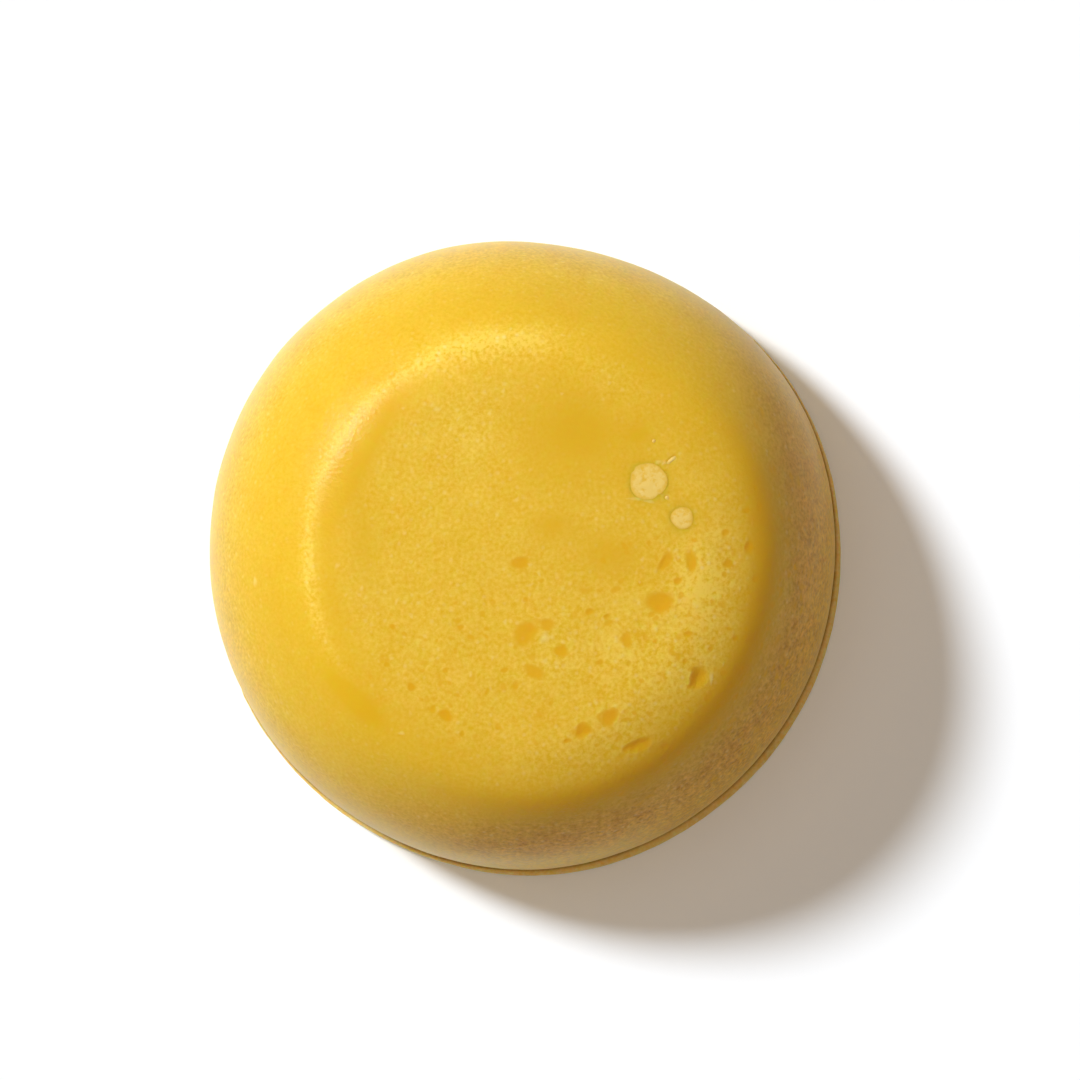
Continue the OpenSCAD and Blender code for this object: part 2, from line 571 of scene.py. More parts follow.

# Areas that are clearer or frostier than the skin round them, and painted glow round the flakes.
PATCHES = (
    Patch(6.3, 13.7, 18.0, 15.0, 15, Mask.VEIL_AND_PAINTED_LIGHT, -0.40),
    Patch(6.3, 13.7, 18.0, 15.0, 15, Mask.COARSE, -0.30),
    Patch(3.2, 3.3, 5.0, 4.0, 0, Mask.VEIL_AND_PAINTED_LIGHT, -0.30),
    Patch(9.5, 0.2, 9.0, 6.0, -10, Mask.VEIL_AND_PAINTED_LIGHT, -0.32),
    Patch(12.9, 13.2, 3.4, 2.6, 20, Mask.VEIL_AND_PAINTED_LIGHT, -0.25),
    Patch(-17.3, 2.0, 4.5, 11.0, 0, Mask.VEIL_AND_PAINTED_LIGHT, -0.25),
    Patch(-18.3, 10.5, 16.0, 4.5, 62, Mask.VEIL_AND_PAINTED_LIGHT, -0.45),
    Patch(-18.6, -15.8, 9.5, 3.0, -43, Mask.VEIL_AND_PAINTED_LIGHT, -0.40),
    Patch(-16.8, -17.3, 4.2, 2.6, -38, Mask.HOLLOW_AND_PAINTED_GLOW, 0.30),
    # Painted glow: a warmer ring round each flake stands in for the red light that runs through the soap
    # and that the flakes keep out.
    Patch(13.8, 8.1, 5.6, 5.6, 0, Mask.HOLLOW_AND_PAINTED_GLOW, 0.75),
    Patch(17.5, 4.1, 3.6, 3.6, 0, Mask.HOLLOW_AND_PAINTED_GLOW, 0.75),
    Patch(19.5, -1.5, 9.0, 7.0, 80, Mask.VEIL_AND_PAINTED_LIGHT, 0.35),
    Patch(20.0, -6.0, 12.0, 9.0, 70, Mask.VEIL_AND_PAINTED_LIGHT, 0.22),
    Patch(14.0, -10.5, 15.0, 9.0, 20, Mask.VEIL_AND_PAINTED_LIGHT, 0.20),
    Patch(3.0, -10.0, 10.0, 8.0, 0, Mask.VEIL_AND_PAINTED_LIGHT, 0.12),
    Patch(-3.0, 23.5, 17.0, 4.5, 5, Mask.VEIL_AND_PAINTED_LIGHT, 0.45),
    Patch(9.5, 18.5, 8.0, 5.0, -35, Mask.VEIL_AND_PAINTED_LIGHT, 0.20),
    Patch(-5.5, 13.0, 9.0, 11.0, 0, Mask.VEIL_AND_PAINTED_LIGHT, 0.18),
    Patch(9.0, -9.0, 34.0, 20.0, 10, Mask.COARSE, 0.65),
    Patch(22.0, -6.0, 14.0, 12.0, 70, Mask.COARSE, 0.40),
)

# The face's rim is a low bead on a circle that lies off the axis, high on the near right and
# sharp on the far left. Amounts are in mm.
RIM_CENTRE = (1.55, -1.25)
BEADS = (
    Band(25.2, 2.8, 2.2, -35.0, 150.0, None, 0.30, RIM_CENTRE),
    Band(25.2, 5.5, 1.3, 158.0, 100.0, None, 0.12, RIM_CENTRE),
)

# Frosty and clear bands along the rim, and painted light: on the far left, towards the sun, a painted
# highlight along the rim, painted shade on the shoulder, and painted sheen and shade on the outer wall;
# on the near right, painted glow where the lit face turns into shade, and painted shade on the wall,
# kept mottled by more frost; and a pale band along the foot of the near wall.
BANDS = (
    # Painted highlight: a pale frosty line along the rim on the sun side, where the sun's own highlight
    # falls.
    Band(23.6, 0.8, 0.8, 150.0, 75.0, Mask.VEIL_AND_PAINTED_LIGHT, 0.50),
    Band(21.3, 1.3, 1.0, 165.0, 62.0, Mask.VEIL_AND_PAINTED_LIGHT, -0.14),
    Band(22.6, 1.8, 1.8, 85.0, 50.0, Mask.VEIL_AND_PAINTED_LIGHT, 0.20),
    Band(22.0, 2.2, 2.4, -35.0, 75.0, Mask.VEIL_AND_PAINTED_LIGHT, 0.22),
    # Painted glow: clearer, saturated amber where the lit face turns into shade on the near right, as light
    # runs through the soap.
    Band(26.9, 1.3, 1.4, -38.0, 85.0, Mask.VEIL_AND_PAINTED_LIGHT, -0.30, (-0.2, -0.5)),
    Band(26.9, 1.3, 1.4, -38.0, 85.0, Mask.HOLLOW_AND_PAINTED_GLOW, 0.75, (-0.2, -0.5)),
    # Painted shade on the near right wall, away from the sun, with more frost to keep it mottled.
    Band(32.2, 3.6, 8.0, -38.0, 105.0, Mask.PAINTED_SHADE, 0.85),
    Band(33.0, 4.0, 6.0, -38.0, 100.0, Mask.VEIL_AND_PAINTED_LIGHT, 0.20),
    # Painted shade: tones down the shoulder that faces the sun.
    Band(29.5, 4.0, 4.0, 140.0, 110.0, Mask.PAINTED_SHADE, 0.17),
    # Painted sheen and painted shade on the outer wall, most on the sun side: frost and crystal colour pale
    # it like a glancing reflection of the white surroundings, and the painted shade dims it.
    Band(34.5, 3.0, 4.0, 140.0, 125.0, Mask.VEIL_AND_PAINTED_LIGHT, 0.34),
    Band(35.0, 2.6, 4.0, 140.0, 130.0, Mask.PAINTED_SHADE, 0.65),
    Band(35.4, 1.7, 3.0, 140.0, 140.0, Mask.CRYSTAL_AND_PAINTED_LIGHT, 0.50),
    Band(34.3, 1.2, 1.2, -92.0, 38.0, Mask.CRYSTAL_AND_PAINTED_LIGHT, 0.50),
)


@dataclass(frozen=True)
class Scatter:
    """Small pits that are strewn by chance over an area of the skin.

    Attributes:
        count: How many there are.
        seed: Start of the chance draws.
        area: The oval that they lie in.
        widths: Least and greatest width, in mm.
        depths: Least and greatest depth, in mm.
    """

    count: int
    seed: int
    area: Mark
    widths: tuple[float, float]
    depths: tuple[float, float]

    def pits(self, farthest: float) -> list[Pit]:
        """Draws the pits.

        Args:
            farthest: Greatest distance of a pit from the axis, in mm.

        Returns:
            The pits, in the order in which they were drawn.
        """
        draw = random.Random(self.seed)
        found: list[Pit] = []
        turn = math.radians(self.area.turn)
        while len(found) < self.count:
            out = math.sqrt(draw.random())
            way = draw.uniform(0.0, 2.0 * math.pi)
            u = out * math.cos(way) * self.area.length / 2
            v = out * math.sin(way) * self.area.width / 2
            x = self.area.x + u * math.cos(turn) - v * math.sin(turn)
            y = self.area.y + u * math.sin(turn) + v * math.cos(turn)
            width = draw.uniform(*self.widths)
            longer = draw.uniform(1.0, 1.7)
            depth = draw.uniform(*self.depths)
            angle = draw.uniform(0.0, 180.0)
            if math.hypot(x, y) < farthest:
                found.append(Pit(x, y, width * longer, width, angle, depth=depth, rim=0.008))
        return found


STREWN = (
    Scatter(80, 11, Mark(9.0, -9.0, 38.0, 24.0, 12), (0.35, 0.75), (0.008, 0.035)),
    Scatter(26, 12, Mark(-9.0, -12.0, 20.0, 14.0, -40), (0.35, 0.60), (0.008, 0.025)),
    Scatter(60, 13, Mark(24.0, -16.0, 36.0, 18.0, 48), (0.40, 0.90), (0.015, 0.050)),
    Scatter(20, 14, Mark(29.0, 9.0, 24.0, 8.0, 100), (0.40, 0.80), (0.015, 0.045)),
)


# --- Mesh helpers


def spun(outline: Outline, segments: int) -> BMesh:
    """Spins a half section about the axis into a closed shell.

    Args:
        outline: Points as distance from the axis and height. Both ends lie on the axis.
        segments: Number of steps round the axis.

    Returns:
        The shell, with its poles merged and its faces outwards.
    """
    bm = bmesh.new()
    verts = [bm.verts.new((out, 0.0, height)) for out, height in outline]
    edges = [bm.edges.new(pair) for pair in zip(verts, verts[1:])]
    whole = {"axis": (0, 0, 1), "cent": (0, 0, 0), "angle": 2 * math.pi}
    bmesh.ops.spin(bm, geom=verts + edges, steps=segments, use_merge=True, **whole)
    bmesh.ops.remove_doubles(bm, verts=bm.verts, dist=1e-4)
    bmesh.ops.recalc_face_normals(bm, faces=bm.faces)
    return bm


def points_of(bm: BMesh) -> np.ndarray:
    """The places of a bmesh's vertices, in their order."""
    return np.array([vert.co for vert in bm.verts])


def move_to(bm: BMesh, points: np.ndarray) -> None:
    """Moves a bmesh's vertices to these places, in their order."""
    for vert, point in zip(bm.verts, points):
        vert.co = point


def refine(
    bm: BMesh, shape: PourShape, marks: Iterable[Mark], margin: float, longest: float
) -> None:
    """Halves each edge on or beside some marks that is longer than a limit.

    Args:
        bm: The mesh.
        shape: The pour that it models.
        marks: The marks.
        margin: How far beyond a mark its edges are halved too, in mm.
        longest: The limit, in mm.
    """
    points = points_of(bm)
    near = np.zeros(len(points), bool)
    for mark in marks:
        centre, _ = shape.place_on(mark.x, mark.y)
        near |= np.linalg.norm(points - centre, axis=1) < mark.length / 2 + margin
    bm.verts.index_update()
    edges = [
        edge
        for edge in bm.edges
        if all(near[vert.index] for vert in edge.verts) and edge.calc_length() > longest
    ]
    bmesh.ops.subdivide_edges(bm, edges=edges, cuts=1, use_grid_fill=True)
    # A new point that only halves an edge between two uncut faces would fold into a flap.
    idle = [vert for vert in bm.verts if len(vert.link_edges) == 2]
    bmesh.ops.dissolve_verts(bm, verts=idle)


@dataclass
class Piece:
    """A finished piece of the puck on its way into the scene.

    Attributes:
        name: Name of the piece.
        bm: Its shape in mm, from its pour's axis.
        axis: Place of that axis, in mm.
        node: The solid that it stands for.
        slot: Material slot of the record. Not used.
        material: Its finish.
        masks: The finish's masks, with a value for each vertex or one for all. The rest are 0.
    """

    name: str
    bm: BMesh
    axis: Vector
    node: str
    slot: Slot
    material: bpy.types.Material
    masks: Masks

    def place(self) -> bpy.types.Object:
        """Makes the object, with its place in its mesh, and ties it to the frame.

        Returns:
            The new object.
        """
        bmesh.ops.translate(self.bm, verts=self.bm.verts, vec=self.axis)
        bmesh.ops.scale(self.bm, verts=self.bm.verts, vec=(MM, MM, MM))
        mesh = bpy.data.meshes.new(self.name)
        self.bm.to_mesh(mesh)
        self.bm.free()
        mesh.shade_smooth()
        for mask in Mask:
            values = np.zeros(len(mesh.vertices), np.float32)
            values[:] = np.clip(self.masks.get(mask, 0.0), 0.0, 1.0)
            mesh.attributes.new(mask.value, "FLOAT", "POINT").data.foreach_set("value", values)
        mesh.materials.append(self.material)
        thing = bpy.data.objects.new(self.name, mesh)
        bpy.context.scene.collection.objects.link(thing)
        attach(thing, BODY)
        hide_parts(self.node)
        triangles = sum(len(face.vertices) - 2 for face in mesh.polygons)
        LOG.info("%s stands for %s: %d triangles", self.name, self.node, triangles)
        return thing


# --- Node helpers


class NodeSheet:
    """A node tree that is being drawn, with short ways to add nodes and join them."""

    def __init__(self, tree: bpy.types.NodeTree) -> None:
        """Starts on an empty tree."""
        self.tree = tree
        tree.nodes.clear()

    def add(self, kind: str, inputs: dict[str, object] | None = None, **settings: object) -> bpy.types.Node:
        """Adds a node.

        Args:
            kind: Its type.
            inputs: For each socket by name, a value or the socket that feeds it.
            **settings: Its own settings.

        Returns:
            The node.
        """
        node = self.tree.nodes.new(kind)
        for name, value in settings.items():
            setattr(node, name, value)
        for name, value in (inputs or {}).items():
            self.feed(node.inputs[name], value)
        return node

    def feed(self, socket: Socket, value: object) -> None:
        """Joins a socket to another, or sets its value."""
        if isinstance(value, Socket):
            self.tree.links.new(value, socket)
        elif isinstance(value, tuple) and socket.type == "RGBA":
            socket.default_value = (*value, 1.0)
        else:
            socket.default_value = value

    def maths(self, operation: str, *values: object, clamp: bool = False) -> Socket:
        """Result of a Math node on these values or sockets."""
        node = self.add("ShaderNodeMath", operation=operation, use_clamp=clamp)
        for socket, value in zip(node.inputs, values):
            self.feed(socket, value)
        return node.outputs[0]

    def ease(
        self, value: object, low: float, high: float, ends: tuple[float, float] = (0.0, 1.0)
    ) -> Socket:
        """Eases a value between two ends while it goes from low to high."""
        names = ("Value", "From Min", "From Max", "To Min", "To Max")
        inputs = dict(zip(names, (value, low, high, *ends)))
        return self.add("ShaderNodeMapRange", inputs, interpolation_type="SMOOTHSTEP").outputs[0]

    def blend(self, share: object, first: object, second: object) -> Socket:
        """A colour between two colours."""
        node = self.add("ShaderNodeMix", data_type="RGBA", clamp_factor=True)
        for index, value in ((0, share), (6, first), (7, second)):
            self.feed(node.inputs[index], value)
        return node.outputs[2]

    def grain(self, place: Socket, size: float, detail: float = 2.0) -> Socket:
        """Noise about 0.5 with swells of this size in mm."""
        inputs = {"Vector": place, "Scale": 1.0 / (size * MM), "Detail": detail, "Roughness": 0.55}
        return self.add("ShaderNodeTexNoise", inputs).outputs[0]

    def attribute(self, mask: Mask) -> Socket:
        """Values of one of the masks."""
        return self.add("ShaderNodeAttribute", attribute_name=mask.value).outputs["Fac"]


@dataclass(frozen=True)
class SoapGrain:
    """Node group with the grain of cast soap: a patchy pale veil, crystals and their relief.

    Attributes:
        fine: Size of the fine grain, in mm.
        coarse: Size of the coarse grain.
        mottle: Size of the clouds in the veil.
        crystal: Spacing of the crystals.
    """

    fine: float = 0.42
    coarse: float = 0.66
    mottle: float = 3.6
    crystal: float = 0.72
    name: str = "soap_grain"

    def group(self) -> bpy.types.NodeTree:
        """The group, which is drawn when it is first asked for.

        Returns:
            The node group. It takes Veil and Coarse, and gives Paleness, Crystals and Relief.
        """
        tree = bpy.data.node_groups.get(self.name)
        if tree:
            return tree
        tree = bpy.data.node_groups.new(self.name, "ShaderNodeTree")
        for name in ("Veil", "Coarse"):
            tree.interface.new_socket(name, in_out="INPUT", socket_type="NodeSocketFloat")
        for name in ("Paleness", "Crystals", "Relief"):
            tree.interface.new_socket(name, in_out="OUTPUT", socket_type="NodeSocketFloat")
        sheet = NodeSheet(tree)
        given = sheet.add("NodeGroupInput").outputs
        place = sheet.add("ShaderNodeTexCoord").outputs["Object"]
        fine = sheet.maths("SUBTRACT", sheet.grain(place, self.fine), 0.5)
        coarse = sheet.maths("SUBTRACT", sheet.grain(place, self.coarse, 3.0), 0.5)
        mottle = sheet.maths("SUBTRACT", sheet.grain(place, self.mottle, 3.0), 0.5)
        coarse_part = sheet.maths("MULTIPLY", coarse, given["Coarse"])
        swing = sheet.maths("MULTIPLY", fine, 4.2)
        swing = sheet.maths("MULTIPLY_ADD", coarse_part, 3.6, swing)
        swing = sheet.maths("MULTIPLY_ADD", mottle, 1.6, swing)
        strength = sheet.maths("ADD", swing, 1.0)
        paleness = sheet.maths("MULTIPLY", strength, given["Veil"], clamp=True)
        cells = sheet.add(
            "ShaderNodeTexVoronoi", {"Vector": place, "Scale": 1.0 / (self.crystal * MM)}
        ).outputs
        lucky = sheet.add("ShaderNodeSeparateColor", {"Color": cells["Color"]}).outputs["Red"]
        spot = sheet.ease(cells["Distance"], 0.50, 0.05)
        rare = sheet.ease(lucky, 0.50, 1.00)
        crystals = sheet.maths("MULTIPLY", sheet.maths("MULTIPLY", spot, rare), given["Veil"])
        relief = sheet.maths("MULTIPLY_ADD", fine, 0.55, 0.5)
        relief = sheet.maths("MULTIPLY_ADD", coarse_part, 1.6, relief)
        relief = sheet.maths("MULTIPLY_ADD", crystals, 0.5, relief)
        sheet.add("NodeGroupOutput", {"Paleness": paleness, "Crystals": crystals, "Relief": relief})
        return tree


@dataclass(frozen=True)
class SoapFinish:
    """Waxy, see-through soap under a frosty bloom.

    Attributes:
        name: Name of the material.
        clear: Colour where the soap is clear.
        painted_shade: Darker colour painted on clear soap where shade falls.
        veiled: Colour under the bloom.
        painted_shade_veiled: Darker colour painted under the bloom where shade falls.
        hollow: Colour in the bottom of a bubble, also painted as glow where the lit face turns into shade
            and round the flakes.
        crystal: Colour of the crystals, also painted as sheen on the outer wall and as a highlight in one
            bubble.
        glow: Share of the light that goes in and comes out elsewhere.
        glow_mm: How far that light runs inside.
        glow_tint: How far red, green and blue run, as shares of that.
        gloss: Roughness where the soap is clear, and under the bloom.
        shine: Strength of its reflections.
        relief_mm: Height of the grain.
    """

    name: str
    clear: Colour
    painted_shade: Colour
    veiled: Colour
    painted_shade_veiled: Colour
    hollow: Colour
    crystal: Colour
    glow: float = 1.0
    glow_mm: float = 1.7
    glow_tint: Colour = (1.0, 0.45, 0.15)
    gloss: tuple[float, float] = (0.32, 0.44)
    shine: float = 0.14
    relief_mm: float = 0.08

    def material(self) -> bpy.types.Material:
        """Draws the material.

        Returns:
            The new material.
        """
        made = bpy.data.materials.new(self.name)
        made.use_nodes = True
        sheet = NodeSheet(made.node_tree)
        # The masks that follow also carry painted light: highlight, sheen, glow and shade.
        veil = sheet.attribute(Mask.VEIL_AND_PAINTED_LIGHT)
        hollow = sheet.attribute(Mask.HOLLOW_AND_PAINTED_GLOW)
        own_crystal_and_painted_light = sheet.attribute(Mask.CRYSTAL_AND_PAINTED_LIGHT)
        open_skin = sheet.maths("SUBTRACT", 1.0, hollow)
        grain = sheet.add("ShaderNodeGroup", node_tree=SoapGrain().group())
        sheet.feed(grain.inputs["Veil"], sheet.maths("MULTIPLY", veil, open_skin))
        sheet.feed(grain.inputs["Coarse"], sheet.attribute(Mask.COARSE))
        pale = grain.outputs["Paleness"]
        crystals = sheet.maths("MAXIMUM", grain.outputs["Crystals"], own_crystal_and_painted_light)
        # Painted shade: where its mask is set, the clear and the veiled soap turn to darker colours.
        painted_shade = sheet.attribute(Mask.PAINTED_SHADE)
        body = sheet.blend(painted_shade, self.clear, self.painted_shade)
        bloom = sheet.blend(painted_shade, self.veiled, self.painted_shade_veiled)
        colour = sheet.blend(pale, body, bloom)
        # Bubble bottoms and the painted glow take the hollow colour.
        colour = sheet.blend(hollow, colour, self.hollow)
        # Crystals, and the painted sheen and highlight, take the crystal colour.
        colour = sheet.blend(sheet.maths("MULTIPLY", crystals, 0.75), colour, self.crystal)
        roughness = sheet.ease(pale, 0.0, 1.0, self.gloss)
        bump = sheet.add(
            "ShaderNodeBump",
            {"Strength": 1.0, "Distance": self.relief_mm * MM, "Height": grain.outputs["Relief"]},
        )
        surface = sheet.add(
            "ShaderNodeBsdfPrincipled",
            {
                "Base Color": colour,
                "Roughness": roughness,
                "IOR": 1.47,
                "Specular IOR Level": self.shine,
                "Subsurface Weight": self.glow,
                "Subsurface Radius": self.glow_tint,
                "Subsurface Scale": self.glow_mm * MM,
                "Normal": bump.outputs[0],
            },
        )
        sheet.add("ShaderNodeOutputMaterial", {"Surface": surface.outputs[0]})
        return made


AMBER = SoapFinish(
    "amber_soap_finish",
    clear=(0.79, 0.480, 0.008),
    painted_shade=(0.47, 0.195, 0.004),
    veiled=(0.91, 0.64, 0.085),
    painted_shade_veiled=(0.83, 0.450, 0.064),
    hollow=(0.80, 0.435, 0.001),
    crystal=(0.95, 0.75, 0.27),
)
BASE_AMBER = SoapFinish(
    "base_soap_finish",
    clear=(0.95, 0.62, 0.140),
    painted_shade=(0.36, 0.19, 0.012),
    veiled=(0.98, 0.76, 0.290),
    painted_shade_veiled=(0.44, 0.25, 0.030),
    hollow=(0.70, 0.38, 0.020),
    crystal=(0.90, 0.68, 0.32),
    glow_mm=0.6,
)
PALE = SoapFinish(
    "pale_flake_finish",
    clear=(0.82, 0.480, 0.045),
    painted_shade=(0.80, 0.46, 0.020),
    veiled=(0.87, 0.590, 0.142),
    painted_shade_veiled=(0.85, 0.58, 0.120),
    hollow=(0.82, 0.46, 0.020),
    crystal=(0.93, 0.72, 0.30),
    glow=0.0,
    relief_mm=0.04,
)


# --- The pieces


def box_mm(node: str) -> tuple[Vector, Vector]:
    """Lowest and highest corner of a solid, in mm."""
    low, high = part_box(node)
    return low / MM, high / MM


def axis_of(node: str) -> Vector:
    """Place of a round solid's axis, in mm, at height 0."""
    low, high = box_mm(node)
    return Vector(((low.x + high.x) / 2, (low.y + high.y) / 2, 0.0))


@dataclass
class MainPour:
    """The cake itself, with its waves, bubbles, crystals and the beds of the flakes.

    Attributes:
        segments: Steps round the axis.
        ring_fine: Spacing of the rings on the face, in mm.
        ring_coarse: Spacing of the rings on the wall.
        edge_limits: Longest edge near a mark after each round of refining, in mm.
        margin: How far beyond a mark that reaches, in mm.
        swells: Height and wavelength of the waves in the skin, in mm.
        ripple: Height of the ripples on the near left of the face.
        ripple_turn: Direction in which they run, in degrees from +X.
        ripple_size: Their length, width and depth, in mm.
        ripple_reach: Size of their area, and how far left and near its middle is.
        bare_edge: Width of the edge that the small bubbles leave free.
        face_veil: How frosty the face is.
        slope_veil: How frosty the shoulder is on the far left, and how much more on the near right.
        beds: Places of the flakes, with the depth that the soap gives way under them.
    """

    segments: int = 256
    ring_fine: float = 0.36
    ring_coarse: float = 0.55
    edge_limits: tuple[float, ...] = (0.24, 0.13)
    margin: float = 0.35
    swells: tuple[tuple[float, float], ...] = ((0.09, 9.0), (0.035, 3.6), (0.010, 1.3))
    ripple: float = 0.022
    ripple_turn: float = 66.0
    ripple_size: tuple[float, float, float] = (2.6, 0.85, 3.0)
    ripple_reach: float = 9.0
    bare_edge: float = 2.0
    face_veil: float = 0.38
    slope_veil: tuple[float, float] = (0.16, 0.12)
    beds: list[Pit] = field(default_factory=list)

    def __post_init__(self) -> None:
        """Takes the pour's size from its solid, and gathers its bubbles."""
        low, high = box_mm("soap_body")
        self.shape = PourShape((high.x - low.x) / 2, low.z, high.z)
        self.axis = axis_of("soap_body")
        farthest = self.shape.radius - self.bare_edge
        self.pits = [*BUBBLES, *(pit for scatter in STREWN for pit in scatter.pits(farthest))]

    def skin(self) -> BMesh:
        """Spins the smooth pour and refines it where it carries marks.

        Returns:
            The mesh, with its points still on the smooth outline.
        """
        bm = spun(self.shape.outline(self.ring_fine, self.ring_coarse), self.segments)
        for limit in self.edge_limits:
            refine(bm, self.shape, (*self.pits, *FLECKS, *self.beds), self.margin, limit)
        return bm

    def waves(self, points: np.ndarray) -> np.ndarray:
        """Height of the skin's waves, ripples and beads.

        Args:
            points: Rows of x, y and z on the pour.

        Returns:
            How far each point moves outwards, in mm.
        """
        rise = sum(
            height * noise_at(points, length, 3.0 * i)
            for i, (height, length) in enumerate(self.swells)
        )
        streaks = noise_at(turned(points, self.ripple_turn), self.ripple_size, 21.0)
        away = (points[:, :2] + self.ripple_reach) / self.ripple_reach
        near_left = np.exp(-(away[:, 0] ** 2) - away[:, 1] ** 2)
        beads = sum(bead.weight(self.shape, points) for bead in BEADS)
        return rise + self.ripple * streaks * near_left + beads

    def level_at(self, points: np.ndarray) -> np.ndarray:
        """Height of the face, with its waves, above or below each point."""
        smooth = np.array([self.shape.place_on(*point[:2])[0] for point in points])
        return smooth[:, 2] + self.waves(smooth)

    def veil(self, points: np.ndarray) -> np.ndarray:
        """How frosty the skin is: most on the face, and more on the near right than elsewhere.

        Args:
            points: Rows of x, y and z on the pour.

        Returns:
            The mask's value for each point.
        """
        on_face = smooth_step(24.0, 18.0, from_axis(points)[0])
        near_right = smooth_step(-6.0, 22.0, points[:, 0] * 0.75 - points[:, 1] * 0.66)
        slope = self.slope_veil[0] + self.slope_veil[1] * near_right
        return slope + (self.face_veil - slope) * on_face

    def build(self) -> Piece:
        """Models the cake.

        Returns:
            The piece, ready to place.
        """
        bm = self.skin()
        points, normals = self.shape.settle(points_of(bm))
        shift = self.waves(points)
        masks = {mask: np.zeros(len(points)) for mask in Mask}
        masks[Mask.VEIL_AND_PAINTED_LIGHT] += self.veil(points)
        masks[Mask.COARSE] += 0.15 + 0.85 * smooth_step(20.0, 34.0, points[:, 0] - points[:, 1])
        for pit in self.pits:
            moved, inside = pit.sink(self.shape, points)
            shift += moved
            masks[Mask.HOLLOW_AND_PAINTED_GLOW] = np.maximum(masks[Mask.HOLLOW_AND_PAINTED_GLOW], inside)
        for bed in self.beds:
            shift += bed.sink(self.shape, points)[0]
        for fleck in FLECKS:
            moved, cover = fleck.raise_at(self.shape, points)
            shift += moved
            masks[Mask.CRYSTAL_AND_PAINTED_LIGHT] = np.maximum(masks[Mask.CRYSTAL_AND_PAINTED_LIGHT], cover)
        for area in (*PATCHES, *BANDS):
            masks[area.mask] += area.weight(self.shape, points)
        shift[normals[:, 2] < -0.5] = 0.0  # the foot stays flat
        moved = points + normals * shift[:, None]
        out, away = from_axis(points)
        swell = mould_swell(SHRUNK_LOBES, points) * smooth_step(STILL_OUT, self.shape.radius, out)
        moved[:, :2] += away * swell[:, None]
        move_to(bm, moved)
        return Piece("soap_cake", bm, self.axis, "soap_body", Slot.CAKE, AMBER.material(), masks)


@dataclass
class BasePour:
    """The thin pour under the cake, whose edge shows as a lip.

    Attributes:
        segments: Steps round the axis.
        rings: Steps from the edge to the axis, underneath and on top.
        edge_r: Rounding of its edges, in mm.
        edge_steps: Steps round each of them.
        ragged: Height and wavelength of the waves in its edge.
        spill: How far its edge squeezed out along the near left.
        spill_ends: Directions from +X in which that starts abruptly and has faded out.
    """

    segments: int = 360
    rings: int = 14
    edge_r: float = 0.4
    edge_steps: int = 6
    ragged: tuple[tuple[float, float], ...] = ((0.05, 4.0), (0.03, 1.3))
    spill: float = 0.20
    spill_ends: tuple[float, float] = (-157.0, -100.0)

    def outline(self, radius: float, height: float) -> Outline:
        """Half section from the middle of the underside to the middle of the seam.

        Args:
            radius: Radius of the pour, in mm.
            height: Its height.

        Returns:
            Points as distance from the axis and height, closer together on the seam's edge.
        """
        inner = radius - self.edge_r
        low = [(inner * i / self.rings, 0.0) for i in range(self.rings)]
        turns = [math.pi / 2 * i / self.edge_steps for i in range(self.edge_steps + 1)]
        edge = [
            (inner + self.edge_r * math.sin(turn), self.edge_r * (1 - math.cos(turn)))
            for turn in turns
        ]
        top_edge = [(out, height - level) for out, level in reversed(edge)]
        seam = [(inner - 0.15 * i, height) for i in range(1, 9)]
        high = [(inner * (1 - i / self.rings), height) for i in range(1, self.rings + 1)]
        return [*low, *edge, *top_edge, *seam, *high]

    def unevenness(self, points: np.ndarray) -> np.ndarray:
        """Unevenness of the edge: its waves and the spill.

        Args:
            points: Rows of x, y and z on the pour.

        Returns:
            How far each direction stands out, in mm.
        """
        ragged = sum(
            height * noise_at(points, length, 40.0 + i)
            for i, (height, length) in enumerate(self.ragged)
        )
        start, end = self.spill_ends
        way = np.degrees(angle_of(points))
        spilt = smooth_step(start, start + 3.0, way) * smooth_step(end, end - 30.0, way)
        return ragged + self.spill * spilt

    def build(self) -> Piece:
        """Models the base pour.

        Returns:
            The piece, ready to place.
        """
        low, high = box_mm("base_layer")
        radius = (high.x - low.x) / 2
        bm = spun(self.outline(radius, high.z), self.segments)
        points = points_of(bm)
        out, away = from_axis(points)
        shift = mould_swell(MOULD_LOBES, points) * smooth_step(STILL_OUT, radius, out)
        shift = shift + self.unevenness(points) * smooth_step(radius - 2.0, radius, out)
        points[:, :2] += away * shift[:, None]
        move_to(bm, points)
        axis = axis_of("base_layer")
        # Painted shade: the top of the base pour darkens in the seam, close in under the cake's wall.
        from_cake = points + np.array(axis - axis_of("soap_body"))
        cake_wall = radius + mould_swell(SHRUNK_LOBES, from_cake)
        in_gap = smooth_step(0.45, 0.10, from_axis(from_cake)[0] - cake_wall)
        on_top = smooth_step(high.z - 0.2, high.z - 0.05, points[:, 2])
        masks = {Mask.VEIL_AND_PAINTED_LIGHT: 0.50, Mask.COARSE: 0.3, Mask.PAINTED_SHADE: in_gap * on_top}
        return Piece("base_pour", bm, axis, "base_layer", Slot.BASE, BASE_AMBER.material(), masks)


